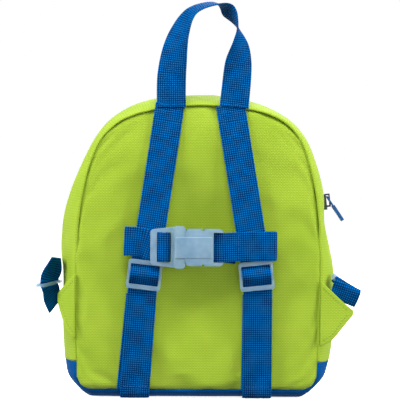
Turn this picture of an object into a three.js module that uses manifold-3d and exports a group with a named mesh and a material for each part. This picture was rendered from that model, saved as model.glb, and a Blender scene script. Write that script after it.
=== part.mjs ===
// A small child's backpack that stands on its base, in millimetres, +Z up.
// The back panel with the straps faces -Y. The origin is the middle of the flat base.
import * as THREE from "three";
import { mergeVertices } from "three/addons/utils/BufferGeometryUtils.js";
import Module from "manifold-3d";

const wasm = await Module();
wasm.setup();

// Bag body
const BACK_Y = -45;
const BOTTOM_SEAM_Z = 7;
const SHOULDER_Z = 119;
const TOP_SEAM_Z = 253.5;
const HALF_WIDTH = 106;
const HALF_WIDTH_LOW = 104.5;
const CORNER_RADIUS = 16;
const ARCH_LEAN = 3.5;
const ARCH_FULLNESS = { left: 0.75, right: 0.8 };
const BASE_TOP_Z = 32;
const BASE_DROP = 8.5;
const BULGE_SHARPNESS = 0.6;
const CLOTH = 2;
const BACK_PAD = 3;
const BACK_BOW = 3;
const FRONT_BOW = 9;
const SEAM_GAP = 0.7;
const PIECE_GAP = 0.4;

// How far the two sides stand out past the seams, and how deep the bag is, at each height.
const BODY_SECTIONS = [
  { z: 0, left: 4, right: 3.6, depth: 91 },
  { z: 32, left: 8.6, right: 13.4, depth: 94 },
  { z: 55, left: 10.6, right: 16.2, depth: 94 },
  { z: 105, left: 11, right: 15.4, depth: 93 },
  { z: 130, left: 12.2, right: 11.6, depth: 91 },
  { z: 152, left: 11.6, right: 8, depth: 88.5 },
  { z: 175, left: 9.2, right: 10, depth: 85 },
  { z: 215, left: 6.4, right: 9, depth: 79 },
  { z: 240, left: 6.8, right: 7.2, depth: 75.5 },
  { z: 253, left: 9.2, right: 9.2, depth: 74 },
];

// Zip over the top
const ZIP_END_Z = 150;
const ZIP_HALF_SHARE = 0.065;
const ZIP_END_HALF_SHARE = 0.012;
const ZIP_GAP_SHARE = 0.005;
const COIL_HALF_SHARE = 0.025;
const ZIP_RECESS = 2;
const COIL_RISE = -1;
const TAPE = 1.6;
const ZIP_SLIDER_Z = 168.5;
const SLIDER_GAP = 1.1;

// Webbing and its fittings
const WEB_WIDTH = 25;
const WEB_THICK = 1.6;
const SLIDER = { width: 28.8, height: 24.5, bar: 3.2, slot: 7.4, slotWidth: 25.9, thick: 2.4 };
const SLIDER_OFF = 13;
const SLIDER_REACH = 14;
const TAIL_BEHIND = 2.4;
const RING = { length: 30.6, width: 9.6, slotLength: 27.6, slotWidth: 5.6, thick: 2.6 };
const BUCKLE_Y = -62;
const BUCKLE_Z = 131.3;
const CORNER = { slot: 1, ring: 2, plate: 2.5, frame: 3, socket: 3.5, grip: 2, eye: 0.5, bridge: 0.4 };
const TAB_THICK = 2.2;

// Each shoulder strap in the plane of the back: x and z in millimetres, lean in degrees.
const STRAPS = [
  { side: "left", top: [-26, 250.4], slider: [-46.6, 107.3], lean: 6.5, foot: -53.6, tailShift: -3.2 },
  { side: "right", top: [26.6, 250.6], slider: [49.4, 107.2], lean: -6, foot: 51.5, tailShift: -1.2 },
];
// How far the webbing stands off the plane of the back seam along its runs.
const UPPER_RUN = [
  { share: 0, off: 1.7 },
  { share: 0.1, off: 3.2 },
  { share: 0.35, off: 6.5 },
  { share: 0.65, off: 9.3 },
  { share: 0.9, off: 10 },
];
const LOWER_RUN = [
  { share: 0.15, off: 9.8 },
  { share: 0.4, off: 8.6 },
  { share: 0.7, off: 6.6 },
  { share: 0.9, off: 4.8 },
  { share: 1, off: 3.9 },
];
// The weave through a slider, measured along the strap from the middle of the slider.
const SLIDER_WEAVE = [
  { along: 13, off: -3 },
  { along: 9.4, off: -3 },
  { along: 5.35, off: 0 },
  { along: 1.3, off: 3 },
  { along: -1.3, off: 3 },
  { along: -5.35, off: 0 },
  { along: -9.4, off: -3 },
  { along: -13, off: -3 },
];
// A free tail starts a little higher than the lower run, just under the slider.
const TAIL_RUN = [{ share: 0.03, off: 10 }, ...LOWER_RUN];
const FOOT_TUCK = [
  { z: 4, off: 3.2 },
  { z: 2, off: 1.2 },
  { z: 1.4, off: -2.5 },
];
const LOWER_RUN_END_Z = 7;

// Grab handle: a loop that turns edge-on at the top.
const HANDLE = [
  { at: [-24.6, -46.8, 253.8], across: [-1, 0, 0] },
  { at: [-24.8, -46.8, 266], across: [-1, 0.05, 0] },
  { at: [-24.3, -46.6, 281], across: [-0.97, 0.24, 0] },
  { at: [-19.5, -46.4, 311], across: [-0.7, 0.7, 0.05] },
  { at: [-9.2, -46, 332], across: [-0.32, 0.92, 0.2] },
  { at: [4.6, -46, 339], across: [-0.1, 0.97, 0.2] },
  { at: [15.4, -46, 339.6], across: [-0.14, 0.97, 0.08] },
  { at: [24, -46, 333.8], across: [-0.28, 0.9, -0.3] },
  { at: [31.3, -46.2, 321.5], across: [0.02, 1, 0] },
  { at: [34.2, -46.4, 305], across: [0.62, 0.78, 0] },
  { at: [32.5, -46.6, 287], across: [0.95, 0.3, 0] },
  { at: [30.9, -46.8, 268], across: [1, 0.08, 0] },
  { at: [29.6, -46.8, 254.4], across: [1, 0, 0] },
];

// Chest strap: each half loops round its shoulder strap and a bar of the buckle.
const CHEST_LEFT = [
  { at: [-33, -52.9, 134.8], across: [0.04, 0, 1] },
  { at: [-46, -52.8, 135.2], across: [0.05, 0, 1] },
  { at: [-58, -52.9, 135.8], across: [0.06, 0, 1] },
  { at: [-62.4, -53.6, 136], across: [0.06, 0, 1] },
  { at: [-63.8, -55.05, 136], across: [0.06, 0, 1] },
  { at: [-62.4, -56.5, 136], across: [0.06, 0, 1] },
  { at: [-57.5, -57.2, 135.8], across: [0.06, 0, 1] },
  { at: [-48, -57.7, 134.8], across: [0.06, 0, 1] },
  { at: [-43, -58.7, 133], across: [0.03, 0, 1] },
  { at: [-39, -59, 131.8], across: [0, 0, 1] },
  { at: [-35, -62, 131.4], across: [0, 0, 1] },
  { at: [-31.5, -65, 131.3], across: [0, 0, 1] },
  { at: [-28.5, -65, 131.3], across: [0, 0, 1] },
  { at: [-25.9, -63.3, 131.3], across: [0, 0, 1] },
  { at: [-25.2, -61, 131.3], across: [0, 0, 1] },
  { at: [-26.6, -58.9, 131.3], across: [0, 0, 1] },
  { at: [-30, -58.4, 131.3], across: [0, 0, 1] },
];
const CHEST_RIGHT = [
  { at: [32.6, -57.6, 129.4], across: [0.1, 0, 1] },
  { at: [26, -58, 130.3], across: [0.08, 0, 1] },
  { at: [18.2, -59.2, 131.2], across: [0, 0, 1] },
  { at: [14.4, -59.9, 131.3], across: [0, 0, 1] },
  { at: [12.7, -62, 131.3], across: [0, 0, 1] },
  { at: [14.4, -64.1, 131.3], across: [0, 0, 1] },
  { at: [18.2, -64.8, 131.4], across: [0, 0, 1] },
  { at: [26, -63.2, 131.7], across: [0, 0, 1] },
  { at: [34, -61.4, 132], across: [0, 0, 1] },
  { at: [48, -60.9, 132.5], across: [0, 0, 1] },
  { at: [60, -60.6, 132.7], across: [0, 0, 1] },
  { at: [64.9, -59.4, 132.7], across: [0, 0, 1] },
  { at: [66.2, -56.6, 132.7], across: [0, 0, 1] },
  { at: [64.9, -53.8, 132.7], across: [0, 0, 1] },
  { at: [60, -52.9, 132.7], across: [0, 0, 1] },
  { at: [46, -52.8, 132.5], across: [0, 0, 1] },
  { at: [33, -52.9, 132.3], across: [0, 0, 1] },
];

// Side tabs from the back seam out to the tip: plan position and the heights of the two edges.
const TAB_LEFT = [
  { x: -105.8, y: -46.9, top: 107, bottom: 52 },
  { x: -111.5, y: -43.6, top: 101, bottom: 57 },
  { x: -116.5, y: -36.5, top: 94, bottom: 71 },
  { x: -119.8, y: -27.5, top: 89, bottom: 82 },
];
const TAB_RIGHT = [
  { x: 105.8, y: -46.9, top: 103, bottom: 46 },
  { x: 115.8, y: -46, top: 93.5, bottom: 51 },
  { x: 125.4, y: -44, top: 84.5, bottom: 62.5 },
  { x: 134.8, y: -41.5, top: 77, bottom: 73.5 },
];
// Side straps: short lengths of webbing from behind each tab, through a ring, to the side of the bag.
const SIDE_LEFT = [
  { at: [-123.2, -17.5, 77.3], across: [0.42, 0.88, -0.2] },
  { at: [-125.2, -20.5, 85], across: [0.53, 0.85, -0.08] },
  { at: [-126.6, -23, 92], across: [0.56, 0.83, 0] },
  { at: [-128.4, -24, 97.7], across: [0.56, 0.83, 0] },
  { at: [-127.3, -24, 103.6], across: [0.63, 0.78, -0.02] },
  { at: [-124.7, -24, 109.2], across: [0.56, 0.8, -0.18] },
  { at: [-122, -24, 120], across: [0.24, 0.93, -0.24] },
];
const SIDE_RIGHT = [
  { at: [124.6, -41, 84.4], across: [0.74, 0.17, -0.65] },
  { at: [127.4, -42.4, 91], across: [0.8, 0.07, -0.6] },
  { at: [129.4, -43.4, 98], across: [0.83, 0, -0.55] },
  { at: [130, -41.2, 100.2], across: [0.83, 0.03, -0.55] },
  { at: [129.8, -37.6, 98.2], across: [0.74, 0.1, -0.66] },
  { at: [127.2, -35.8, 96], across: [0.62, 0.2, -0.76] },
  { at: [123.8, -34.9, 93.4], across: [0.6, 0.22, -0.77] },
];
const RING_LEFT = { share: 3 / 6, out: -0.2 };
const RING_RIGHT = { share: 5 / 6, out: 0.4 };

// Side-release buckle, measured along X and out from its middle line: a plug held in a socket.
const PLUG_FRAME = { from: -41.9, to: -18, half: 16, thick: 2.4 };
const PLUG_SLOTS = [
  { from: -38.4, to: -31.6, half: 13.4 },
  { from: -28.4, to: -22.8, half: 13.4 },
];
const PLUG_COLLAR = { from: -22, to: -12.4, half: 18, thick: 10 };
const PRONGS = [
  { z: -11.2, to: 5 },
  { z: 0, to: 1 },
  { z: 11.2, to: 5 },
];
const PRONG = { from: -14, half: 1.9, thick: 4.2 };
const SOCKET = { from: -12, to: 20.2, half: 15.75, thick: 11 };
const SOCKET_CAVITY = { from: -20, to: 7, half: 13.8, thick: 5.2 };
const SOCKET_SLOT = { from: 9.5, to: 15.5, half: 13.2 };
const SOCKET_BAR_THICK = 2.2;
const SOCKET_NOTCH = { from: 2, to: 4, deep: 1.6 };

// Zip slider with its bridge, and the pull that swings on the bar under the bridge.
const ZIP_BODY = { thick: 2.4, halfWidth: 4.5, halfLength: 6.6 };
const BRIDGE = { halfWidth: 1.5, root: 1.4, top: 6.1, low: -4.5, high: 7.2 };
const BRIDGE_HOLE = { top: 5, low: -3, high: 5.9 };
const PULL_BAR = { x: 3.7, z: 4.4 };
const PULL = { bar: 1.2, width: 7.6, neck: 10.5, gripTop: 9.3, length: 25, gripThick: 2.8 };
const PULL_EYE = { width: 4.6, length: 9 };
const PULL_LEAN = 27;

const GREEN = new THREE.MeshStandardMaterial({ color: "#b3d722", roughness: 0.85, metalness: 0 });
const BLUE = new THREE.MeshStandardMaterial({ color: "#1660ad", roughness: 0.8, metalness: 0 });
const FROSTED = new THREE.MeshStandardMaterial({ color: "#c3d4e6", roughness: 0.45, metalness: 0 });
const DARK = new THREE.MeshStandardMaterial({ color: "#2b333b", roughness: 0.5, metalness: 0.2 });

// The closed line of the back seam, from the middle of the bottom round by the right.
const seam = new THREE.Path();
seam.moveTo(0, BOTTOM_SEAM_Z);
seam.lineTo(HALF_WIDTH_LOW - CORNER_RADIUS, BOTTOM_SEAM_Z);
seam.absarc(
  HALF_WIDTH_LOW - CORNER_RADIUS, BOTTOM_SEAM_Z + CORNER_RADIUS, CORNER_RADIUS, -Math.PI / 2, 0,
);
seam.lineTo(HALF_WIDTH, SHOULDER_Z);
const archZ = (fullness) => SHOULDER_Z + fullness * (TOP_SEAM_Z - SHOULDER_Z);
const archX = HALF_WIDTH - ARCH_LEAN;
const { left: fullLeft, right: fullRight } = ARCH_FULLNESS;
seam.bezierCurveTo(archX, archZ(fullRight), fullRight * HALF_WIDTH, TOP_SEAM_Z, 0, TOP_SEAM_Z);
seam.bezierCurveTo(
  -fullLeft * HALF_WIDTH, TOP_SEAM_Z, -archX, archZ(fullLeft), -HALF_WIDTH, SHOULDER_Z,
);
seam.lineTo(-HALF_WIDTH_LOW, BOTTOM_SEAM_Z + CORNER_RADIUS);
seam.absarc(
  CORNER_RADIUS - HALF_WIDTH_LOW, BOTTOM_SEAM_Z + CORNER_RADIUS, CORNER_RADIUS, Math.PI, 1.5 * Math.PI,
);
seam.lineTo(0, BOTTOM_SEAM_Z);
const seamLength = seam.getLength();

// Place on the seam and its outward direction, for a share of the way round.
function seamAt(share) {
  const t = share - Math.floor(share);
  const at = seam.getPoint(t);
  const along = seam.getTangent(t);
  return { x: at.x, z: at.y, nx: along.y, nz: -along.x };
}

// Share of the way round at which the right side of the seam reaches a height.
function seamShare(height) {
  let low = (HALF_WIDTH_LOW - CORNER_RADIUS) / seamLength;
  let high = 0.5;
  for (let i = 0; i < 30; i++) {
    const middle = (low + high) / 2;
    if (seamAt(middle).z < height) low = middle;
    else high = middle;
  }
  return low;
}

// The two bulges and the depth at a height, on a smooth curve through the section table.
const sectionCurve = new THREE.CubicInterpolant(
  BODY_SECTIONS.map((row) => row.z), BODY_SECTIONS.flatMap((row) => [row.left, row.right, row.depth]), 3,
);
function section(height) {
  const [left, right, depth] = sectionCurve.evaluate(height);
  return { left, right, depth };
}

// A point of the body's skin: share round the seam, share of the depth, and height above the skin.
function skin(share, deep, rise, floor) {
  const s = seamAt(share);
  const swell = Math.pow(Math.max(Math.sin(Math.PI * deep), 0), BULGE_SHARPNESS);
  const { left, right, depth } = section(s.z);
  const out = (s.nx < 0 ? left : right) * swell + rise;
  const drop = s.nz < 0 ? BASE_DROP * swell + rise : out;
  const z = Math.max(s.z + s.nz * drop, floor);
  return new THREE.Vector3(s.x + s.nx * out, BACK_Y + deep * depth, z);
}

// Moves every vertex of a unit box, so that shared corners stay shared.
function shapedBox(segments, place) {
  const box = new THREE.BoxGeometry(1, 1, 1, ...segments);
  const at = box.attributes.position;
  const snap = (value) => Math.round((value + 0.5) * 1e5) / 1e5;
  for (let i = 0; i < at.count; i++) {
    const to = place(snap(at.getX(i)), snap(at.getY(i)), snap(at.getZ(i)));
    at.setXYZ(i, to.x, to.y, to.z);
  }
  box.computeVertexNormals();
  return box;
}

// A band of cloth round the body, through a list of seam shares, between two edges in depth.
function band({ shares, edges, thick, across, rise = () => 0 }) {
  const last = shares.length - 1;
  return shapedBox([across, last, 1], (a, u, w) => {
    const share = shares[Math.round(u * last)];
    const [near, far] = edges(share);
    const deep = THREE.MathUtils.lerp(near, far, a);
    return skin(share, deep, w === 1 ? rise(deep) : -thick, w === 1 ? 0 : thick);
  });
}

// A crowned panel that fills the seam line: rings from the middle out to the rim and back.
function panel({ inset, thick, bow, facing, plane }) {
  const RINGS = [0, 0.45, 0.75, 0.93, 1];
  const STEPS = 60;
  const rows = [...RINGS.map((r) => ({ r, face: 1 })), ...RINGS.toReversed().map((r) => ({ r, face: 0 }))];
  const disc = new THREE.LatheGeometry(rows.map(({ r, face }) => new THREE.Vector2(r, -face)), STEPS);
  const at = disc.attributes.position;
  const middleZ = (BOTTOM_SEAM_Z + TOP_SEAM_Z) / 2;
  for (let i = 0; i < at.count; i++) {
    const { r, face } = rows[i % rows.length];
    const s = seamAt((facing * Math.floor(i / rows.length)) / STEPS);
    const x = r * (s.x - s.nx * inset);
    const z = middleZ + r * (s.z - s.nz * inset - middleZ);
    const crown = bow * (1 - r ** 3) - (1 - face) * thick;
    at.setXYZ(i, x, plane(z) + facing * crown, z);
  }
  disc.computeVertexNormals();
  return disc;
}

// Centre, directions along and across, and face direction of a strap, for a share of its route.
function strapFrame(route) {
  const line = new THREE.CatmullRomCurve3(route.map((row) => new THREE.Vector3(...row.at)));
  const turns = route.map((row) => new THREE.Vector3(...row.across));
  const turn = new THREE.CatmullRomCurve3(turns, false, "catmullrom");
  return (share) => {
    const along = line.getTangent(share);
    const across = turn.getPoint(share);
    across.addScaledVector(along, -across.dot(along)).normalize();
    return { at: line.getPoint(share), along, across, face: across.clone().cross(along) };
  };
}

// A flat strap swept along a route.
function ribbon(route, steps = 3) {
  const frame = strapFrame(route);
  return shapedBox([1, (route.length - 1) * steps, 1], (a, share, w) => {
    const { at, across, face } = frame(share);
    return at
      .addScaledVector(across, (a - 0.5) * WEB_WIDTH)
      .addScaledVector(face, (w - 0.5) * WEB_THICK);
  });
}

// A rectangle with round corners, as an outline or as a hole.
function roundRect(path, x0, x1, y0, y1, r) {
  path.absarc(x1 - r, y0 + r, r, -Math.PI / 2, 0);
  path.absarc(x1 - r, y1 - r, r, 0, Math.PI / 2);
  path.absarc(x0 + r, y1 - r, r, Math.PI / 2, Math.PI);
  path.absarc(x0 + r, y0 + r, r, Math.PI, 1.5 * Math.PI);
  path.closePath();
  return path;
}

// An upright plate: the shape's y becomes +Z, and its thickness lies along Y about zero.
function plate(shape, thick) {
  const made = new THREE.ExtrudeGeometry(shape, { depth: thick, bevelEnabled: false, curveSegments: 3 });
  return made.translate(0, 0, -thick / 2).rotateX(Math.PI / 2);
}

function block(x0, x1, y0, y1, z0, z1) {
  const made = new THREE.BoxGeometry(x1 - x0, y1 - y0, z1 - z0);
  return made.translate((x0 + x1) / 2, (y0 + y1) / 2, (z0 + z1) / 2);
}

function toSolid(geometry) {
  const bare = geometry.clone();
  bare.deleteAttribute("normal");
  bare.deleteAttribute("uv");
  const merged = mergeVertices(bare);
  const vertProperties = merged.attributes.position.array;
  const triVerts = new Uint32Array(merged.index.array);
  return new wasm.Manifold(new wasm.Mesh({ numProp: 3, vertProperties, triVerts }));
}

// Joins the first list of shapes and cuts the second list out of them.
function carved(joined, cuts) {
  let solid = toSolid(joined[0]);
  for (const more of joined.slice(1)) solid = solid.add(toSolid(more));
  for (const cut of cuts) solid = solid.subtract(toSolid(cut));
  const mesh = solid.getMesh();
  const made = new THREE.BufferGeometry();
  made.setAttribute("position", new THREE.BufferAttribute(mesh.vertProperties, 3));
  made.setIndex(new THREE.BufferAttribute(mesh.triVerts, 1));
  return made;
}

const bag = new THREE.Group();

function add(name, geometry, material, parent = bag) {
  const mesh = new THREE.Mesh(geometry, material);
  mesh.name = name;
  parent.add(mesh);
  return mesh;
}

// Body: two panels, two gusset bands with the zip between them, and the base tray
const SIDE_STEPS = 46;
const BASE_STEPS = 36;
const spread = (from, to, steps) =>
  Array.from({ length: steps + 1 }, (_, i) => THREE.MathUtils.lerp(from, to, i / steps));
const baseShare = seamShare(BASE_TOP_Z);
const gapShare = PIECE_GAP / seamLength;
const sideShares = spread(baseShare + gapShare, 1 - baseShare - gapShare, SIDE_STEPS);
const zipShares = sideShares.filter((share) => seamAt(share).z > ZIP_END_Z);
const zipEnds = [zipShares[0], zipShares.at(-1)];
// Half the width of the zip as a share of the depth: narrow where the tape runs into the side seam.
const zipHalf = (share) => {
  if (share < zipEnds[0] || share > zipEnds[1]) return 0;
  return zipEnds.includes(share) ? ZIP_END_HALF_SHARE : ZIP_HALF_SHARE;
};
const gussetEdge = (share) => 0.5 - zipHalf(share) - ZIP_GAP_SHARE;

add("back_panel", panel({
  inset: CLOTH + SEAM_GAP, thick: BACK_PAD, bow: BACK_BOW, facing: -1, plane: () => BACK_Y,
}), GREEN);
add("front_panel", panel({
  inset: CLOTH + SEAM_GAP, thick: CLOTH, bow: FRONT_BOW, facing: 1,
  plane: (z) => BACK_Y + section(z).depth,
}), GREEN);
add("back_gusset", band({
  shares: sideShares, across: 5, thick: CLOTH, edges: (share) => [0, gussetEdge(share)],
}), GREEN);
add("front_gusset", band({
  shares: sideShares, across: 5, thick: CLOTH, edges: (share) => [1 - gussetEdge(share), 1],
}), GREEN);
add("base", band({
  shares: spread(-baseShare, baseShare, BASE_STEPS), across: 8, thick: CLOTH, edges: () => [0, 1],
}), BLUE);
add("zip_tape", band({
  shares: zipShares, across: 6, thick: ZIP_RECESS + TAPE,
  edges: (share) => [0.5 - zipHalf(share), 0.5 + zipHalf(share)],
  rise: (deep) => (Math.abs(deep - 0.5) < COIL_HALF_SHARE ? COIL_RISE : -ZIP_RECESS),
}), BLUE);

// Shoulder straps: one length of webbing on each side, with a free tail behind its lower run
const rad = THREE.MathUtils.degToRad;
const mix = THREE.MathUtils.lerp;
const behind = (off) => BACK_Y - off;

function runRows(from, to, table, shift = 0, back = 0) {
  const up = new THREE.Vector2().subVectors(from, to).normalize();
  return table.map(({ share, off }) => ({
    at: [mix(from.x, to.x, share) + shift, behind(off - back), mix(from.y, to.y, share)],
    across: [up.y, 0, -up.x],
  }));
}

function sliderPlate() {
  const { width, height, bar, slot, slotWidth, thick } = SLIDER;
  const shape = roundRect(new THREE.Shape(), -width / 2, width / 2, -height / 2, height / 2, CORNER.plate);
  for (const low of [-height / 2 + bar, height / 2 - bar - slot]) {
    shape.holes.push(
      roundRect(new THREE.Path(), -slotWidth / 2, slotWidth / 2, low, low + slot, CORNER.slot),
    );
  }
  return plate(shape, thick);
}

for (const { side, top, slider, lean, foot, tailShift } of STRAPS) {
  const up = new THREE.Vector2(Math.sin(rad(lean)), Math.cos(rad(lean)));
  const middle = new THREE.Vector2(...slider);
  const entry = middle.clone().addScaledVector(up, SLIDER_REACH);
  const exit = middle.clone().addScaledVector(up, -SLIDER_REACH);
  const footTop = new THREE.Vector2(foot, LOWER_RUN_END_Z);
  const weave = SLIDER_WEAVE.map(({ along, off }) => ({
    at: [slider[0] + along * up.x, behind(SLIDER_OFF + off), slider[1] + along * up.y],
    across: [up.y, 0, -up.x],
  }));
  const tuck = FOOT_TUCK.map(({ z, off }) => ({ at: [foot, behind(off), z], across: [1, 0, 0] }));
  const upper = runRows(new THREE.Vector2(...top), entry, UPPER_RUN);
  const lower = runRows(exit, footTop, LOWER_RUN);
  add(`shoulder_strap_${side}`, ribbon([...upper, ...weave, ...lower, ...tuck], 2), BLUE);
  add(`strap_tail_${side}`, ribbon(runRows(exit, footTop, TAIL_RUN, tailShift, TAIL_BEHIND)), BLUE);
  const plateMesh = add(`strap_slider_${side}`, sliderPlate(), FROSTED);
  plateMesh.position.set(slider[0], behind(SLIDER_OFF), slider[1]);
  plateMesh.rotation.y = rad(lean);
}

// Handle and chest strap
add("grab_handle", ribbon(HANDLE), BLUE);
add("chest_strap_left", ribbon(CHEST_LEFT, 2), BLUE);
add("chest_strap_right", ribbon(CHEST_RIGHT, 2), BLUE);

// Buckle, fastened: the prongs of the plug sit in the cavity of the socket
function bar({ from, to, half, thick }, r) {
  return plate(roundRect(new THREE.Shape(), from, to, -half, half, r), thick);
}

function slab({ from, to, half, thick }, z = 0) {
  return block(from, to, -thick / 2, thick / 2, z - half, z + half);
}

function maleHalf() {
  const slots = PLUG_SLOTS.map((slot) => slab({ ...slot, thick: 2 * PLUG_FRAME.thick }));
  const prongs = PRONGS.map(({ z, to }) => slab({ ...PRONG, to }, z));
  const frame = carved([bar(PLUG_FRAME, CORNER.frame)], slots);
  return carved([frame, bar(PLUG_COLLAR, CORNER.plate), ...prongs], []);
}

function femaleHalf() {
  const { to, half, thick } = SOCKET;
  const slot = slab({ ...SOCKET_SLOT, thick: 2 * thick });
  const reliefs = [1, -1].map((face) => {
    const relief = slab({ ...SOCKET_SLOT, to: 2 * to, thick });
    return relief.translate(0, (face * (thick + SOCKET_BAR_THICK)) / 2, 0);
  });
  const notch = { ...SOCKET_NOTCH, half: SOCKET_NOTCH.deep, thick: 2 * thick };
  const notches = [1, -1].map((edge) => slab(notch, edge * half));
  return carved([bar(SOCKET, CORNER.socket)], [slab(SOCKET_CAVITY), slot, ...reliefs, ...notches]);
}

for (const [name, geometry] of [["buckle_male", maleHalf()], ["buckle_female", femaleHalf()]]) {
  add(name, geometry, FROSTED).position.set(0, BUCKLE_Y, BUCKLE_Z);
}

// Side tabs, side straps and the rings on them
function tab(rows) {
  const plan = new THREE.CatmullRomCurve3(rows.map(({ x, y }) => new THREE.Vector3(x, y, 0)));
  const heights = rows.map(({ top, bottom }) => new THREE.Vector3(top, bottom, 0));
  const edges = new THREE.CatmullRomCurve3(heights);
  const outward = Math.sign(rows[0].x);
  return shapedBox([6, 4, 1], (a, h, w) => {
    const share = outward > 0 ? a : 1 - a;
    const along = plan.getTangent(share).multiplyScalar(outward);
    const at = plan.getPoint(share);
    const edge = edges.getPoint(share);
    const off = (w - 0.5) * TAB_THICK;
    return new THREE.Vector3(at.x + along.y * off, at.y - along.x * off, mix(edge.y, edge.x, h));
  });
}

function ring(route, { share, out }) {
  const { length, width, slotLength, slotWidth, thick } = RING;
  const shape = roundRect(new THREE.Shape(), -length / 2, length / 2, -width / 2, width / 2, CORNER.ring);
  const slot = new THREE.Path();
  roundRect(slot, -slotLength / 2, slotLength / 2, -slotWidth / 2, slotWidth / 2, CORNER.slot);
  shape.holes.push(slot);
  const { at, across, along, face } = strapFrame(route)(share);
  const turned = new THREE.Matrix4().makeBasis(across, along, face);
  return plate(shape, thick).applyMatrix4(turned.setPosition(at.addScaledVector(face, out)));
}

add("side_tab_left", tab(TAB_LEFT), GREEN);
add("side_tab_right", tab(TAB_RIGHT), GREEN);
add("side_strap_left", ribbon(SIDE_LEFT), BLUE);
add("side_strap_right", ribbon(SIDE_RIGHT), BLUE);
add("side_ring_left", ring(SIDE_LEFT, RING_LEFT), FROSTED);
add("side_ring_right", ring(SIDE_RIGHT, RING_RIGHT), FROSTED);

// Zip slider on the right side, and its pull
const sliderShare = seamShare(ZIP_SLIDER_Z);
const { nx, nz } = seamAt(sliderShare);
const zip = new THREE.Group();
zip.position.copy(skin(sliderShare, 0.5, COIL_RISE + SLIDER_GAP, 0));
zip.rotation.y = -Math.atan2(nz, nx);
bag.add(zip);

function zipSlider() {
  const { thick, halfWidth, halfLength } = ZIP_BODY;
  const body = block(0, thick, -halfWidth, halfWidth, -halfLength, halfLength);
  const bridge = new THREE.Shape();
  const hole = new THREE.Path();
  roundRect(bridge, BRIDGE.root, BRIDGE.top, BRIDGE.low, BRIDGE.high, CORNER.bridge);
  roundRect(hole, thick, BRIDGE_HOLE.top, BRIDGE_HOLE.low, BRIDGE_HOLE.high, CORNER.bridge);
  bridge.holes.push(hole);
  return carved([body, plate(bridge, 2 * BRIDGE.halfWidth)], []);
}

function zipPull() {
  const { bar, width, neck, gripTop, length, gripThick } = PULL;
  const eye = roundRect(new THREE.Shape(), -width / 2, width / 2, -neck, bar / 2, CORNER.eye);
  const hole = new THREE.Path();
  roundRect(hole, -PULL_EYE.width / 2, PULL_EYE.width / 2, -PULL_EYE.length, -bar / 2, CORNER.eye);
  eye.holes.push(hole);
  const grip = roundRect(new THREE.Shape(), -width / 2, width / 2, -length, -gripTop, CORNER.grip);
  return carved([plate(eye, bar), plate(grip, gripThick)], []).rotateZ(Math.PI / 2);
}

add("zip_slider", zipSlider(), DARK, zip);
const pull = add("zip_pull", zipPull(), BLUE, zip);
pull.position.set(PULL_BAR.x, 0, PULL_BAR.z);
pull.rotation.y = -rad(PULL_LEAN);

export default bag;
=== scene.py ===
"""Looks of a small child's backpack, seen from the side that lies on the wearer's back. Metres, +Z up."""

import bisect
import itertools
import math

import bmesh
import bpy
from mathutils import Matrix, Quaternion, Vector, geometry, noise
from mathutils.bvhtree import BVHTree


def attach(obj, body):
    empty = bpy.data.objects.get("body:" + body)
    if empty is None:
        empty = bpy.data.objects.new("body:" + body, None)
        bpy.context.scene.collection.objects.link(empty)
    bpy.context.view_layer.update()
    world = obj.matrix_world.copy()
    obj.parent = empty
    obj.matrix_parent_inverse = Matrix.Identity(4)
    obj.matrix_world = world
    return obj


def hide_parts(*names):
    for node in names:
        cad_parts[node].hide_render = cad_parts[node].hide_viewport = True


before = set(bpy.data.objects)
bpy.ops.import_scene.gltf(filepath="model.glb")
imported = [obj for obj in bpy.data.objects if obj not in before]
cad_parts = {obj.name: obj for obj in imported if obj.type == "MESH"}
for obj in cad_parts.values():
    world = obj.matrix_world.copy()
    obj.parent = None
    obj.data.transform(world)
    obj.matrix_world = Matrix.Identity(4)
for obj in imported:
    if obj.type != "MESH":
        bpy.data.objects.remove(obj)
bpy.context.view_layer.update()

MM = 0.001

# Body of the bag: the line of the back seam
BACK_Y = -45 * MM
BOTTOM_SEAM_Z = 7 * MM
SHOULDER_Z = 119 * MM
TOP_SEAM_Z = 253.5 * MM
HALF_WIDTH = 106 * MM
HALF_WIDTH_LOW = 104.5 * MM
CORNER_RADIUS = 16 * MM
ARCH_LEAN = 3.5 * MM
ARCH_FULLNESS = {"left": 0.785, "right": 0.83}
ARCH_POINTS = 160

# How far the sides stand out past the seam, and how deep the bag is, in millimetres
BODY_SECTIONS = [
    {"z": 0, "left": 4, "right": 3.6, "depth": 91},
    {"z": 32, "left": 8.6, "right": 13.4, "depth": 94},
    {"z": 55, "left": 10.6, "right": 16.2, "depth": 94},
    {"z": 105, "left": 11, "right": 15.4, "depth": 93},
    {"z": 130, "left": 12.2, "right": 11.6, "depth": 91},
    {"z": 152, "left": 11.6, "right": 8, "depth": 88.5},
    {"z": 175, "left": 9.2, "right": 10, "depth": 85},
    {"z": 215, "left": 4.8, "right": 7.5, "depth": 79},
    {"z": 240, "left": 5.2, "right": 5.8, "depth": 75.5},
    {"z": 253, "left": 9.2, "right": 9.2, "depth": 74},
]
BULGE_SHARPNESS = 0.6
BASE_TOP_Z = 32 * MM
BASE_DROP = 8.5 * MM
BASE_TUCK = 2.2 * MM  # the base is tucked back under the panels at its two seams
BASE_FADE = (22 * MM, 11 * MM)  # heights between which the tuck sets in
CORNER_PINCH = 0.3  # how much less the base stands out at its two lower corners

# Bands of cloth round the body, with shares of the depth and of the way round
CLOTH = 1.6 * MM
LIP = 0.009  # the turned-in edge of a band, as a share of the depth
ROLL = {"proud": 1.3 * MM, "wide": 0.03}  # the rolled edge of a band, wide as a share of the depth
ROLL_FADE = (110 * MM, 185 * MM)  # the edge is rolled over the top and flat at the sides
SEAM_GAP = 0.0005  # between a gusset and the zip, as a share of the depth
BASE_GAP = 0.0004  # between a gusset and the base, as a share of the way round
MEAN_DEPTH = 90 * MM  # lays the weave of a band at its real scale
GUSSET_GRID = (30, 320)  # faces across and along
BASE_GRID = (60, 180)

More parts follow.
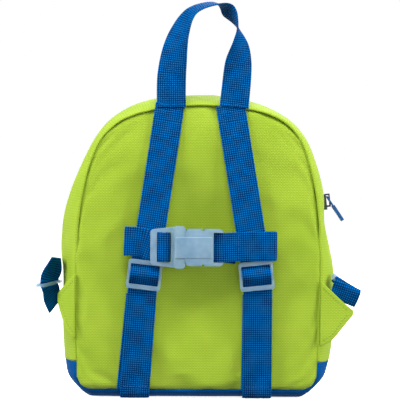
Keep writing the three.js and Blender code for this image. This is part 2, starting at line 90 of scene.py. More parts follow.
# Unevenness of the cloth: the size and height of its waves, and a seed
PUCKER = {"size": 14 * MM, "high": 0.35 * MM, "seed": 3.1}
PUCKER_FADE = 0.07  # a share of the depth
PUCKER_SLANT = 20 * MM
SAG = {"size": 45 * MM, "high": 1.6 * MM, "seed": 7.7}
BACK_WAVE = {"size": 60 * MM, "high": 0.6 * MM, "seed": 5.3}
FRONT_WAVE = {"size": 60 * MM, "high": 2 * MM, "seed": 8.9}
GATHER = {"size": 14 * MM, "high": 2.4 * MM, "seed": 2.3}
GATHER_REACH = {"top": 22 * MM, "bottom": 9 * MM}  # how far gathers run in from the two level seams
LEVEL_FOLDS = 1.6  # makes waves wider than they are tall
UPRIGHT_FOLDS = 0.3  # makes waves taller than they are wide

# Panels
BACK_BOW = 3 * MM
FRONT_BOW = 9 * MM
BACK_PAD = 2.6 * MM
FRONT_PAD = 1.8 * MM
WAIST = {"z": 122 * MM, "deep": 10 * MM, "half_width": 50 * MM, "half_height": 58 * MM}
PANEL_RIM = 0.1 * MM
PANEL_CORNER_Z = 222 * MM
PANEL_GRID = (64, 76)
RIM_CLOSE = 0.11  # draws the rows of a panel closer together at its rim
GROOVE = {"deep": 6 * MM, "wide": 2.2 * MM, "faint": 0.15}
# Settings of the cloth as it swells, with how firmly its loose points are held
SWELL = {"steps": 20, "quality": 6, "mass": 0.2, "bending": 2.0, "shrink": -0.004, "held": 0.12}

# Zip over the top, in shares of the depth and of the way round
ZIP_END_Z = 158 * MM
ZIP_HALF = 0.065
ZIP_TAPER = 0.016
ZIP_RECESS = 2 * MM
ZIP_GRID = (10, 240)
TAPE = 0.8 * MM
TOOTH_PITCH = 2.2 * MM
TOOTH = {"rise": 0.5 * MM, "high": 0.8 * MM, "wide": 2.2 * MM, "long": 0.42 * TOOTH_PITCH}

# Webbing
SECTION_POINTS = 28
RING_STEP = 1.6 * MM
STRAP_OVER = 3 * MM  # how far the ends at the top seam run on over it
SEWN_ABOVE_Z = 235 * MM
END_ANGLE = 1.0  # radians: only the end faces of a strap have four edges sharper than this
EDGE_CURVE = {"across": 0.3, "through": 0.55}  # powers that give the section its soft, rounded edges
STRAPS = [
    "shoulder_strap_left", "shoulder_strap_right", "strap_tail_left", "strap_tail_right",
    "chest_strap_left", "chest_strap_right", "side_strap_left", "side_strap_right", "grab_handle",
]
LEANS = {"strap_tail_left": 2.3 * MM, "strap_tail_right": 0.8 * MM}  # so that a tail hides under its slider

# Moulded fittings: the rounding of their edges
ROUND = {"slider": 0.8 * MM, "buckle": 0.6 * MM, "ring": 0.5 * MM, "zip": 0.25 * MM, "pull": 0.3 * MM}
FACE_ROUND = 0.42 * MM
# how strong the painted highlight is on the rounded edges of the socket's raised face
FACE_EDGE_HIGHLIGHT = 0.35
SLIDER_FULLER = 0.3 * MM
FLAT_ANGLE = math.radians(2)
SHARP_ANGLE = math.radians(25)

# Buckle: rows of old and new places of its slots' sides in millimetres, along it and out from its middle
BUCKLE_Y = -62 * MM
BUCKLE_Z = 131.3 * MM
PLUG = {"end_x": -41.9 * MM, "collar_x": -22 * MM, "half_thick": 1.3 * MM, "inside": 14 * MM}
PLUG_TAPER = {"collar": 1.09, "end": 0.94}
PLUG_BARS = ((-38.4, -36.3), (-22.8, -24.2))
SOCKET_BARS = ((9.5, 11.8), (-12, -12.3))
SLOT_HALVES = ((13.4, 12.8), (13.2, 12.8))
SAME_PLACE = 0.05 * MM
FACE = {"x": (-20.6, 10.6), "y": (-68, -67.1), "z": (122.2, 140.2)}

# Tabs: edges that turn by more than an angle in radians stay creased
TAB_CREASE = {"angle": 0.9, "sharp": 0.8}

# Stitches
STITCH_PITCH = 2.8 * MM
STITCH_LENGTH = 2.0 * MM
STITCH_THICK = 0.35 * MM
STITCH_FROM_Y = -200  # millimetres: stitches are laid on from here, well in front of the bag

# Camera: the photo's frame has the real width below, at the plane of the back panel
PHOTO_WIDTH = 343.4 * MM
CAMERA_DISTANCE = 2.0
CAMERA_AZIMUTH = -3.0
CAMERA_ELEVATION = 1.0
CAMERA_ROLL = 0.6
SENSOR = 36.0
TARGET = Vector((0.8 * MM, -48 * MM, 171.5 * MM))

# Light
LIGHTS = [
    {"name": "left_box", "at": (-1.6, -0.6, 0.8), "size": 0.9, "power": 28},
    {"name": "right_box", "at": (1.6, -0.6, 0.7), "size": 0.9, "power": 26},
    {"name": "top_box", "at": (0, -1.35, 2.9), "size": 1.4, "power": 72},
    {"name": "front_box", "at": (0.2, -2.3, 0.45), "size": 0.8, "power": 6},
    {"name": "far_box", "at": (0.4, 1.9, 1.5), "size": 1.2, "power": 38},
]
LIGHT_AIM = Vector((0, 0, 0.13))
AMBIENT = 0.19  # the white room lights the bag less than it shows behind it
FLOOR_GLOW = 0.85  # keeps the floor as white as the room
FLOOR_SIZE = 8


# Small tools for shader nodes and meshes


def linear(hex_colour, alpha=1.0):
    """An sRGB hex colour as linear RGBA."""
    parts = [int(hex_colour[i : i + 2], 16) / 255 for i in (1, 3, 5)]
    return [p / 12.92 if p <= 0.04045 else ((p + 0.055) / 1.055) ** 2.4 for p in parts] + [alpha]


def shade(tree, kind, inputs=None, **settings):
    """Adds one shader node. A socket among the inputs is linked, and any other value is set."""
    made = tree.nodes.new("ShaderNode" + kind)
    for key, value in settings.items():
        setattr(made, key, value)
    for key, value in (inputs or {}).items():
        if isinstance(value, bpy.types.NodeSocket):
            tree.links.new(value, made.inputs[key])
        else:
            made.inputs[key].default_value = value
    return made


def blank_material(name):
    """A new material with its tree, its surface shader and its output linked."""
    material = bpy.data.materials.new(name)
    material.use_nodes = True
    tree = material.node_tree
    tree.nodes.clear()
    surface = shade(tree, "BsdfPrincipled")
    shade(tree, "OutputMaterial", {"Surface": surface.outputs[0]})
    return material, tree, surface


def mapped_grid(across, along, place):
    """A grid whose points and UVs, both in metres, come from place(a, b) for shares a and b."""
    bm = bmesh.new()
    uv = bm.loops.layers.uv.new("cloth")
    bmesh.ops.create_grid(bm, x_segments=across, y_segments=along, size=1)
    placed = {v: place((v.co.x + 1) / 2, (v.co.y + 1) / 2) for v in bm.verts}
    for face in bm.faces:
        for loop in face.loops:
            loop[uv].uv = placed[loop.vert][1]
    for vert, (point, _) in placed.items():
        vert.co = point
    return bm


def cad_copy(node):
    """A copy of a CAD node's mesh with its loose triangles merged."""
    bm = bmesh.new()
    bm.from_mesh(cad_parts[node].data)
    bmesh.ops.remove_doubles(bm, verts=bm.verts, dist=0.01 * MM)
    bm.verts.ensure_lookup_table()
    return bm


def quads(bm):
    """Joins the triangles of a mesh back into quads."""
    bmesh.ops.join_triangles(
        bm, faces=bm.faces, angle_face_threshold=math.radians(50), angle_shape_threshold=math.radians(80)
    )
    return bm


def round_edges(bm, edges, radius, layer, edge_highlight=1.0):
    """Rounds edges of a moulded piece and marks how much painted highlight the rounded faces carry."""
    rounded = bmesh.ops.bevel(
        bm, geom=edges, offset=radius, offset_type="OFFSET", segments=3, profile=0.5, affect="EDGES",
        clamp_overlap=True, material=-1,
    )
    for face in rounded["faces"]:
        # how strongly this rounded face shows the painted highlight
        face[layer] = edge_highlight


def piece(bm, name, material, slot, nodes=(), body="bag"):
    """A finished object from a bmesh: it rides on a body and stands for the CAD nodes named."""
    mesh = bpy.data.meshes.new(name)
    bm.to_mesh(mesh)
    bm.free()
    mesh.materials.append(material)
    mesh.shade_smooth()
    obj = bpy.data.objects.new(name, mesh)
    bpy.context.scene.collection.objects.link(obj)
    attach(obj, body)
    if nodes:
        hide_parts(*nodes)
    return obj


def wall(obj, thickness):
    """Gives a sheet its thickness, inwards."""
    solid = obj.modifiers.new("wall", "SOLIDIFY")
    solid.thickness = thickness
    solid.offset = -1


def subdivide(obj, levels):
    """Smooths a piece, alike in view and in render."""
    smooth = obj.modifiers.new("smooth", "SUBSURF")
    smooth.levels = smooth.render_levels = levels


# Materials

WAVE = 2 * math.pi / 20  # a wave texture of this scale repeats once in a metre
THREAD_SHOWN = 1.75 * MM  # the real threads are near 0.5 mm, drawn coarser so that they show
RIB_SHOWN = 2.2 * MM  # the level ribs of the weave
KNOT_SHOWN = 1.85 * MM  # the real yarns are near 1 mm, drawn coarser so that they show


def woven_cloth(name, light, dark, gloss):
    """Plain-woven polyester: slanting dots of thread under faint level ribs, dull, over an uneven dye."""
    material, tree, surface = blank_material(name)
    uv = shade(tree, "UVMap", uv_map="cloth").outputs[0]
    turned = shade(tree, "Mapping", {"Vector": uv, "Rotation": (0, 0, math.radians(45))}).outputs[0]
    fine = WAVE / THREAD_SHOWN
    warp = shade(tree, "TexWave", {"Vector": turned, "Scale": fine, "Distortion": 0.5}).outputs[1]
    weft = shade(tree, "TexWave", {"Vector": turned, "Scale": fine, "Distortion": 0.5}, bands_direction="Y")
    weave = shade(tree, "Math", {0: warp, 1: weft.outputs[1]}, operation="MULTIPLY").outputs[0]
    wide = {"Vector": uv, "Scale": WAVE / RIB_SHOWN, "Distortion": 1.6, "Detail": 2.0, "Detail Scale": 0.6}
    ribs = shade(tree, "TexWave", wide, bands_direction="Y").outputs[1]
    dye = shade(tree, "TexNoise", {"Vector": uv, "Scale": 26.0, "Detail": 4.0}).outputs[0]
    tone = shade(tree, "Math", {0: weave, 1: 0.3}, operation="MULTIPLY").outputs[0]
    tone = shade(tree, "Math", {0: ribs, 1: 0.17, 2: tone}, operation="MULTIPLY_ADD").outputs[0]
    tone = shade(tree, "Math", {0: dye, 1: 0.5, 2: tone}, operation="MULTIPLY_ADD").outputs[0]
    ramp = shade(tree, "ValToRGB", {"Fac": tone})
    ramp.color_ramp.elements[0].position = 0.25
    ramp.color_ramp.elements[0].color = linear(dark)
    ramp.color_ramp.elements[1].position = 0.8
    ramp.color_ramp.elements[1].color = linear(light)
    relief = shade(tree, "Math", {0: ribs, 1: 0.3, 2: weave}, operation="MULTIPLY_ADD").outputs[0]
    bump = shade(tree, "Bump", {"Height": relief, "Strength": 0.3, "Distance": 0.25 * MM})
    tree.links.new(ramp.outputs[0], surface.inputs["Base Color"])
    tree.links.new(bump.outputs[0], surface.inputs["Normal"])
    surface.inputs["Roughness"].default_value = 0.8
    surface.inputs["Specular IOR Level"].default_value = gloss
    return material


def webbing_weave(name, light, dark):
    """Woven polypropylene webbing: close rows of raised yarn with dark gaps, and a dull shine."""
    material, tree, surface = blank_material(name)
    uv = shade(tree, "UVMap", uv_map="cloth").outputs[0]
    close = WAVE / KNOT_SHOWN
    across = shade(tree, "TexWave", {"Vector": uv, "Scale": close, "Distortion": 0.3}).outputs[1]
    along = shade(tree, "TexWave", {"Vector": uv, "Scale": close, "Distortion": 0.3}, bands_direction="Y")
    knots = shade(tree, "Math", {0: across, 1: along.outputs[1]}, operation="MULTIPLY").outputs[0]
    dye = shade(tree, "TexNoise", {"Vector": uv, "Scale": 70.0, "Detail": 3.0}).outputs[0]
    tone = shade(tree, "Math", {0: knots, 1: 0.8}, operation="MULTIPLY").outputs[0]
    tone = shade(tree, "Math", {0: dye, 1: 0.4, 2: tone}, operation="MULTIPLY_ADD").outputs[0]
    ramp = shade(tree, "ValToRGB", {"Fac": tone})
    ramp.color_ramp.elements[0].position = 0.15
    ramp.color_ramp.elements[0].color = linear(dark)
    ramp.color_ramp.elements[1].position = 0.8
    ramp.color_ramp.elements[1].color = linear(light)
    bump = shade(tree, "Bump", {"Height": knots, "Strength": 0.5, "Distance": 0.4 * MM})
    tree.links.new(ramp.outputs[0], surface.inputs["Base Color"])
    tree.links.new(bump.outputs[0], surface.inputs["Normal"])
    surface.inputs["Roughness"].default_value = 0.75
    surface.inputs["Specular IOR Level"].default_value = 0.03
    return material


def frosted_acetal(name, alpha):
    """Moulded translucent acetal: milky, cool and half see-through, with a painted highlight that makes its
    rounded edges paler.
    """
    material, tree, surface = blank_material(name)
    place = shade(tree, "TexCoord").outputs["Object"]
    cloud = shade(tree, "TexNoise", {"Vector": place, "Scale": 110.0, "Detail": 2.0}).outputs[0]
    ramp = shade(tree, "ValToRGB", {"Fac": cloud})
    ramp.color_ramp.elements[0].color = linear("#6695ba")
    ramp.color_ramp.elements[1].color = linear("#a0c3d8")
    # The rounded faces are mixed towards a near white: a painted highlight where light would catch the
    # edges.
    edge = shade(tree, "Attribute", attribute_name="edge").outputs["Fac"]
    edge_highlight = {"Fac": edge, "Color1": ramp.outputs[0], "Color2": linear("#d9e8f2")}
    colour = shade(tree, "MixRGB", edge_highlight).outputs[0]
    grain = shade(tree, "TexNoise", {"Vector": place, "Scale": 2200.0}).outputs[0]
    bump = shade(tree, "Bump", {"Height": grain, "Strength": 0.06, "Distance": 0.1 * MM})
    tree.links.new(colour, surface.inputs["Base Color"])
    tree.links.new(bump.outputs[0], surface.inputs["Normal"])
    surface.inputs["Roughness"].default_value = 0.3
    surface.inputs["IOR"].default_value = 1.48
    surface.inputs["Alpha"].default_value = alpha
    return material


def plain_finish(name, light, dark, roughness):
    """A small fitting, thread or floor: one colour with faint marks of handling."""
    material, tree, surface = blank_material(name)
    place = shade(tree, "TexCoord").outputs["Object"]
    marks = shade(tree, "TexNoise", {"Vector": place, "Scale": 400.0, "Detail": 4.0}).outputs[0]
    ramp = shade(tree, "ValToRGB", {"Fac": marks})
    ramp.color_ramp.elements[0].color = linear(dark)
    ramp.color_ramp.elements[1].color = linear(light)
    tree.links.new(ramp.outputs[0], surface.inputs["Base Color"])
    surface.inputs["Roughness"].default_value = roughness
    surface.inputs["Specular IOR Level"].default_value = 0.3
    return material


# Lively lime with a soft sheen, for the body
green_cloth = woven_cloth("lime_polyester_weave", "#b8d23c", "#93b31e", gloss=0.35)
# Deep, flat blue, for the base and the zip tape
blue_cloth = woven_cloth("blue_polyester_weave", "#0366b4", "#014a8c", gloss=0.04)
# The same blue broken up by bright knots and dark gaps, for every strap
blue_webbing = webbing_weave("blue_polypropylene_webbing", "#0075c9", "#002452")
# Milky and nearly opaque in the thick buckle, and clearer in the thin sliders and rings
clear_plastic = frosted_acetal("frosted_acetal", alpha=0.7)
thin_plastic = frosted_acetal("thin_frosted_acetal", alpha=0.52)
# Thread a little darker than the green cloth, and close to the blue of the webbing
green_thread = plain_finish("lime_polyester_thread", "#8aa636", "#6f8c20", roughness=0.7)
blue_thread = plain_finish("blue_polyester_thread", "#0a60ae", "#05498a", roughness=0.7)
# Near black with a slight shine, for the zip slider
dark_metal = plain_finish("dark_enamelled_zinc", "#222d38", "#131b23", roughness=0.4)
# Blue with a soft shine, for the zip pull and the coil
blue_plastic = plain_finish("blue_moulded_pvc", "#0d5ca8", "#064483", roughness=0.5)
blue_coil = plain_finish("blue_nylon_zip_coil", "#0e62b0", "#05477f", roughness=0.45)


# The body's skin


def seam_half(side):
    """Points of one half of the seam, from the middle of the bottom to the middle of the top."""
    corner = Vector((HALF_WIDTH_LOW - CORNER_RADIUS, BOTTOM_SEAM_Z + CORNER_RADIUS))
    turn = [math.radians(a) for a in range(0, 91, 6)]
    points = [Vector((0, BOTTOM_SEAM_Z))]
    points += [corner + CORNER_RADIUS * Vector((math.sin(a), -math.cos(a))) for a in turn]
    full = ARCH_FULLNESS[side]
    rise = full * (TOP_SEAM_Z - SHOULDER_Z)
    ends = [(HALF_WIDTH, SHOULDER_Z), (HALF_WIDTH - ARCH_LEAN, SHOULDER_Z + rise)]
    ends += [(full * HALF_WIDTH, TOP_SEAM_Z), (0, TOP_SEAM_Z)]
    arch = geometry.interpolate_bezier(*(Vector((*e, 0)) for e in ends), ARCH_POINTS)
    points += [p.to_2d() for p in arch]
    return points if side == "right" else [Vector((-p.x, p.y)) for p in points]


seam_points = seam_half("right") + seam_half("left")[-2::-1]
seam_reach = [0.0]
for before, after in zip(seam_points, seam_points[1:]):
    seam_reach.append(seam_reach[-1] + (after - before).length)
SEAM_LENGTH = seam_reach[-1]


def seam_at(share):
    """Point on the seam and its outward direction, for a share of the way round from the bottom."""
    reach = (share % 1.0) * SEAM_LENGTH
    i = min(max(bisect.bisect(seam_reach, reach), 1), len(seam_points) - 1)
    a, b = seam_points[i - 1], seam_points[i]
    along = b - a
    at = a + along * ((reach - seam_reach[i - 1]) / (seam_reach[i] - seam_reach[i - 1]))
    along.normalize()
    return at, Vector((along.y, -along.x))


def share_at(height, side=1):
    """Share of the way round at which one side of the seam reaches a height, found by halving."""
    low, high = (0.1, 0.5) if side > 0 else (0.9, 0.5)
    for _ in range(30):
        middle = (low + high) / 2
        if seam_at(middle)[0].y < height:
            low = middle
        else:
            high = middle
    return low


def section(column, height):
    """One column of the section table at a height, on a smooth curve through its rows, in metres."""
    rows = BODY_SECTIONS
    h = min(max(height / MM, rows[0]["z"]), rows[-1]["z"] - 1e-6)
    i = next(i for i in range(len(rows) - 1) if h < rows[i + 1]["z"])

    def slope(low, high):
        return (rows[high][column] - rows[low][column]) / (rows[high]["z"] - rows[low]["z"])

    gap = rows[i + 1]["z"] - rows[i]["z"]
    start = slope(max(i - 1, 0), i + 1) * gap
    end = slope(i, min(i + 2, len(rows) - 1)) * gap
    t = (h - rows[i]["z"]) / gap
    first, last = rows[i][column], rows[i + 1][column]
    leaving = (1 + 2 * t) * (1 - t) ** 2 * first + t * (1 - t) ** 2 * start
    return MM * (leaving + t * t * (3 - 2 * t) * last + t * t * (t - 1) * end)


def eased(height, none, full):
    """Goes smoothly from 0 at one height to 1 at another."""
    t = min(max((height - none) / (full - none), 0.0), 1.0)
    return t * t * (3 - 2 * t)


def skin(share, deep, rise=0.0):
    """A point of the skin: share round the seam, share of the depth, and height above the skin."""
    at, out = seam_at(share)
    inside = min(max(deep, 0), 1)
    swell = math.sin(math.pi * inside) ** BULGE_SHARPNESS if 0 < inside < 1 else 0.0
    depth = section("depth", at.y)
    curl = abs(deep - inside) * depth
    if out.y < 0:
        swell *= 1 - CORNER_PINCH * (2 * out.x * out.y) ** 2
    stand = section("right" if out.x > 0 else "left", at.y) * swell + rise - curl
    drop = BASE_DROP * swell + rise - curl if out.y < 0 else stand
    rolled = math.exp(-((inside / ROLL["wide"]) ** 2)) - math.exp(-(((1 - inside) / ROLL["wide"]) ** 2))
    rolled *= ROLL["proud"] * eased(at.y, *ROLL_FADE) - BASE_TUCK * eased(at.y, *BASE_FADE)
    y = BACK_Y + inside * depth - rolled
    return Vector((at.x + out.x * stand, y, max(at.y + out.y * drop, 0.0)))


def ripple(point, wave):
    """Soft, repeatable unevenness of cloth: waves of a given size, height and seed."""
    shift = Vector((wave["seed"], wave["seed"] * 1.7, 0))
    return wave["high"] * noise.noise(Vector(point) / wave["size"] + shift)


def pucker(share, deep):
    """Gathers along the two seams of a band, dying out away from them."""
    near = min(abs(deep), abs(1 - deep))
    return math.exp(-near / PUCKER_FADE) * ripple((share * SEAM_LENGTH, deep * PUCKER_SLANT, 0), PUCKER)


def band(grid, ends, edges, sag):
    """A band of cloth round the body between two shares of the seam and two edges in depth."""

    def place(a, b):
        share = ends[0] + (ends[1] - ends[0]) * b
        near, far = edges(share)
        deep = near + (far - near) * a
        rise = pucker(share, deep) + sag * ripple(skin(share, deep), SAG)
        return skin(share, deep, rise), (deep * MEAN_DEPTH, share * SEAM_LENGTH)

    return mapped_grid(*grid, place)


base_share = share_at(BASE_TOP_Z)
side_ends = (base_share + BASE_GAP, 1 - base_share - BASE_GAP)
zip_ends = share_at(ZIP_END_Z), share_at(ZIP_END_Z, -1)


def zip_half(share):
    """Half the width of the zip as a share of the depth; it narrows into the side seams."""
    inside = min(share - zip_ends[0], zip_ends[1] - share)
    return ZIP_HALF * min(max(inside / ZIP_TAPER, 0.0), 1.0)


def back_edges(share):
    """Edges in depth of the band behind the zip."""
    return -LIP, 0.5 - zip_half(share) - SEAM_GAP


def front_edges(share):
    """Edges in depth of the band in front of the zip."""
    return 0.5 + zip_half(share) + SEAM_GAP, 1 + LIP


def base_edges(share):
    """Edges in depth of the base, the same all the way."""
    return -LIP, 1 + LIP


back_band = band(GUSSET_GRID, side_ends, back_edges, sag=1.0)
back_gusset = piece(back_band, "back_gusset_cloth", green_cloth, "green_cloth", ["back_gusset"])
front_band = band(GUSSET_GRID, side_ends, front_edges, sag=1.0)
front_gusset = piece(front_band, "front_gusset_cloth", green_cloth, "green_cloth", ["front_gusset"])
base_band = band(BASE_GRID, (-base_share, base_share), base_edges, sag=0.4)
base = piece(base_band, "base_cloth", blue_cloth, "blue_cloth", ["base"])
for cloth in (back_gusset, front_gusset, base):
    wall(cloth, CLOTH)


# The two panels, each a sheet that fills the seam line and dives under its rolled edge

corner_share = (HALF_WIDTH_LOW - CORNER_RADIUS * (1 - math.pi / 4)) / SEAM_LENGTH
shoulder_shares = share_at(PANEL_CORNER_Z), share_at(PANEL_CORNER_Z, -1)


def rim(share):
    """A point of a panel's edge, just inside the seam."""
    at, out = seam_at(share)
    return at - out * PANEL_RIM


def panel_point(a, b):
    """A point of the flat panel for shares across and up: a patch between four runs of the rim."""
    c, (right, left) = corner_share, shoulder_shares
    low, high = rim(c * (2 * a - 1)), rim(left + (right - left) * a)
    west, east = rim(1 - c + (left - 1 + c) * b), rim(c + (right - c) * b)
    corners = (1 - a) * (1 - b) * rim(1 - c) + a * (1 - b) * rim(c)
    corners += (1 - a) * b * rim(left) + a * b * rim(right)
    return (1 - b) * low + b * high + (1 - a) * west + a * east - corners


def settle_order(bm):
    """Sorts edges and faces by their points, so that cloth swells the same in every run."""
    bm.verts.index_update()
    count = len(bm.verts)

    def row(part):
        key = 0
        for index in sorted(v.index for v in part.verts)[:3]:
            key = key * count + index
        return key

    for parts in (bm.edges, bm.faces):
        parts.sort(key=row)
        parts.index_update()


def plump(obj, pressure, cap):
    """Lets a padded piece swell like cloth over its filling; its sewn points stay where they are."""
    scene = bpy.context.scene
    start = [v.co.copy() for v in obj.data.vertices]
    swell = obj.modifiers.new("swell", "CLOTH")
    swell.settings.quality = SWELL["quality"]
    swell.settings.mass = SWELL["mass"]
    swell.settings.bending_stiffness = SWELL["bending"]
    swell.settings.vertex_group_mass = "sewn"
    swell.settings.shrink_min = SWELL["shrink"]
    swell.settings.use_pressure = True
    swell.settings.uniform_pressure_force = pressure
    swell.settings.effector_weights.gravity = 0
    swell.collision_settings.use_collision = False
    for step in range(1, SWELL["steps"] + 1):
        scene.frame_set(step)
    settled = obj.evaluated_get(bpy.context.evaluated_depsgraph_get()).data
    moves = [b.co - a for a, b in zip(start, settled.vertices)]
    obj.modifiers.remove(swell)
    scene.frame_set(1)
    for vert, at, move in zip(obj.data.vertices, start, moves):
        vert.co = at + move * min(1.0, cap / max(move.length, 1e-9))


def panel(name, facing, pad, shape, pressure, cap):
    """A padded panel: facing is -1 for the back and 1 for the front, and shape gives its outer face."""

    def place(a, b):
        a, b = (t - RIM_CLOSE * math.sin(2 * math.pi * t) for t in (a, b))
        flat = panel_point(a if facing < 0 else 1 - a, b)
        edge = min(min(a, 1 - a) * 2 * HALF_WIDTH, min(b, 1 - b) * TOP_SEAM_Z)
        crown = (1 - (2 * a - 1) ** 4) * (1 - (2 * b - 1) ** 4)
        clear = max(eased(flat.y, *ROLL_FADE), eased(flat.y, *BASE_FADE), GROOVE["faint"])
        dive = math.exp(-edge / GROOVE["wide"]) * GROOVE["deep"] * clear
        return Vector((flat.x, shape(flat, crown) - facing * dive, flat.y)), (flat.x, flat.y)

    bm = mapped_grid(*PANEL_GRID, place)
    outer = {v for v in bm.verts if not v.is_boundary}
    bmesh.ops.recalc_face_normals(bm, faces=bm.faces)
    bmesh.ops.solidify(bm, geom=bm.faces, thickness=pad)
    settle_order(bm)
    loose = [v.index for v in outer]
    fixed = [v.index for v in bm.verts if v not in outer]
    obj = piece(bm, name, green_cloth, "green_cloth", [name.removesuffix("_cloth")])
    sewn = obj.vertex_groups.new(name="sewn")
    sewn.add(fixed, 1.0, "REPLACE")
    sewn.add(loose, SWELL["held"], "REPLACE")
    plump(obj, pressure, cap)
    obj.vertex_groups.clear()
    subdivide(obj, 1)


def back_shape(flat, crown):
    """The wearer's side: gently crowned, pressed in at the waist, and gathered at its two level seams."""
    across, up = flat.x / WAIST["half_width"], (flat.y - WAIST["z"]) / WAIST["half_height"]
    waist = WAIST["deep"] * math.exp(-(across**2) - up**2)
    wave = ripple((flat.x, flat.y * LEVEL_FOLDS, 0), BACK_WAVE)
    top = math.exp((flat.y - TOP_SEAM_Z) / GATHER_REACH["top"])
    bottom = math.exp((BOTTOM_SEAM_Z - flat.y) / GATHER_REACH["bottom"])
    gather = ripple((flat.x, flat.y * UPRIGHT_FOLDS, 0), GATHER)
    return BACK_Y - crown * (BACK_BOW - waist + wave) - (top + bottom) * gather


def front_shape(flat, crown):
    """The far side: a fuller crown with slow waves."""
    wave = ripple((flat.x, flat.y * LEVEL_FOLDS, 0), FRONT_WAVE)
    return BACK_Y + section("depth", flat.y) + crown * (FRONT_BOW + wave)


panel("back_panel_cloth", facing=-1, pad=BACK_PAD, shape=back_shape, pressure=2.0, cap=2.5 * MM)
panel("front_panel_cloth", facing=1, pad=FRONT_PAD, shape=front_shape, pressure=4.0, cap=5 * MM)


# Webbing: the rings of each CAD strap give its path, and a rounded section is led along it


def strap_rings(node):
    """Rings of a CAD strap from end to end, each as its middle and its half sizes across and through."""
    whole = quads(cad_copy(node))
    bm = cad_copy(node)
    square = [f for f in whole.faces if len(f.verts) == 4]
    ends = [f for f in square if all(e.calc_face_angle(0) > END_ANGLE for e in f.edges)]
    for end in ends:
        ring = [bm.verts[v.index] for v in end.verts]
        seen, rings = set(), []
        while len(ring) == 4:
            seen.update(ring)
            p = [v.co.copy() for v in ring]
            one, two = (p[1] + p[2] - p[0] - p[3]) / 4, (p[2] + p[3] - p[0] - p[1]) / 4
            across, through = (one, two) if one.length > two.length else (two, one)
            rings.append((sum(p, Vector()) / 4, across, through))
            ring = list({e.other_vert(v) for v in ring for e in v.link_edges} - seen)
            if len(ring) == 4:
                turns = itertools.permutations(ring)
                ring = min(turns, key=lambda turn: sum((v.co - q).length for v, q in zip(turn, p)))
        if len(seen) == len(bm.verts):
            break
    whole.free()
    bm.free()
    return rings


def curve(rows, t):
    """A point at ring number t of a row of points, on a smooth curve through them."""
    i = min(int(t), len(rows) - 2)
    p = [rows[min(max(k, 0), len(rows) - 1)] for k in range(i - 1, i + 3)]
    u = t - i
    bend = (2 * p[0] - 5 * p[1] + 4 * p[2] - p[3]) * u + (p[2] - p[0])
    return p[1] + 0.5 * u * (bend + (3 * p[1] - p[0] - 3 * p[2] + p[3]) * u * u)


def webbing(node):
    """A woven strap along a CAD strap, with soft rounded edges; ends at the top seam run on over it."""
    rings = strap_rings(node)
    for end, inner, place in ((rings[0], rings[1], 0), (rings[-1], rings[-2], len(rings) + 1)):
        if end[0].z > SEWN_ABOVE_Z:
            away = (end[0] - inner[0]).normalized() * STRAP_OVER - Vector((0, STRAP_OVER / 4, 0))
            rings.insert(place, (end[0] + away, end[1], end[2]))
    middles, across, through = (list(column) for column in zip(*rings))
    foot, head = (pick(m.z for m in middles) for pick in (min, max))
    for middle in middles:
        middle.x += LEANS.get(node, 0.0) * (middle.z - foot) / (head - foot)
    reach = [0.0]
    for before, after in zip(middles, middles[1:]):
        reach.append(reach[-1] + (after - before).length)
    count = max(int(reach[-1] / RING_STEP), 8)
    half_width, half_thick = across[0].length, through[0].length

    def place(a, b):
        along = b * reach[-1]
        i = min(max(bisect.bisect(reach, along), 1), len(reach) - 1)
        t = i - 1 + (along - reach[i - 1]) / (reach[i] - reach[i - 1])
        angle = 2 * math.pi * a
        c, s = math.cos(angle), math.sin(angle)
        u = math.copysign(abs(c) ** EDGE_CURVE["across"], c)
        w = math.copysign(abs(s) ** EDGE_CURVE["through"], s)
        side = curve(across, t).normalized() * half_width
        face = curve(through, t).normalized() * half_thick
        return curve(middles, t) + side * u + face * w, (u * half_width, along)

    bm = mapped_grid(SECTION_POINTS, count, place)
    bmesh.ops.remove_doubles(bm, verts=bm.verts, dist=0.001 * MM)
    bmesh.ops.holes_fill(bm, edges=[e for e in bm.edges if e.is_boundary])
    bmesh.ops.recalc_face_normals(bm, faces=bm.faces)
    return piece(bm, node + "_webbing", blue_webbing, "blue_webbing", [node])


straps = {node: webbing(node) for node in STRAPS}


# Moulded fittings


def fitting(node, radius, material, slot, body="bag", fuller=0.0, shape=Vector):
    """A moulded fitting: the CAD solid with its flat faces made whole and its edges rounded."""
    bm = cad_copy(node)
    # a layer that marks the rounded faces for the painted highlight of the frosted plastic
    edge = bm.faces.layers.float.new("edge")
    quads(bm)
    bm.normal_update()
    for vert in bm.verts:
        vert.co = shape(vert.co + vert.normal * vert.calc_shell_factor() * fuller)
    bmesh.ops.dissolve_limit(bm, angle_limit=FLAT_ANGLE, verts=bm.verts, edges=bm.edges)
    sharp = [e for e in bm.edges if e.calc_face_angle(0) > SHARP_ANGLE]
    round_edges(bm, sharp, radius, edge)
    return piece(bm, node + "_moulded", material, slot, [node], body)


def moved(place, moves):
    """Moves the side of a slot, so that the bar beside it is fuller than the plain solid's."""
    return next((new * MM for old, new in moves if abs(place - old * MM) < SAME_PLACE), place)


def plug_shape(at):
    """The frame of the plug: fuller bars, and lower towards its free end."""
    high = at.z - BUCKLE_Z
    if abs(high) > PLUG["inside"] and abs(at.y - BUCKLE_Y) < PLUG["half_thick"]:
        share = (PLUG["collar_x"] - at.x) / (PLUG["collar_x"] - PLUG["end_x"])
        share = min(max(share, 0.0), 1.0)
        high *= PLUG_TAPER["collar"] + (PLUG_TAPER["end"] - PLUG_TAPER["collar"]) * share
    high = math.copysign(moved(abs(high), SLOT_HALVES), high)
    return Vector((moved(at.x, PLUG_BARS), at.y, BUCKLE_Z + high))


def socket_shape(at):
    """The socket, with its face carried on to the webbing and its mouth close to the plug's collar."""
    high = at.z - BUCKLE_Z
    high = math.copysign(moved(abs(high), SLOT_HALVES), high)
    return Vector((moved(at.x, SOCKET_BARS), at.y, BUCKLE_Z + high))


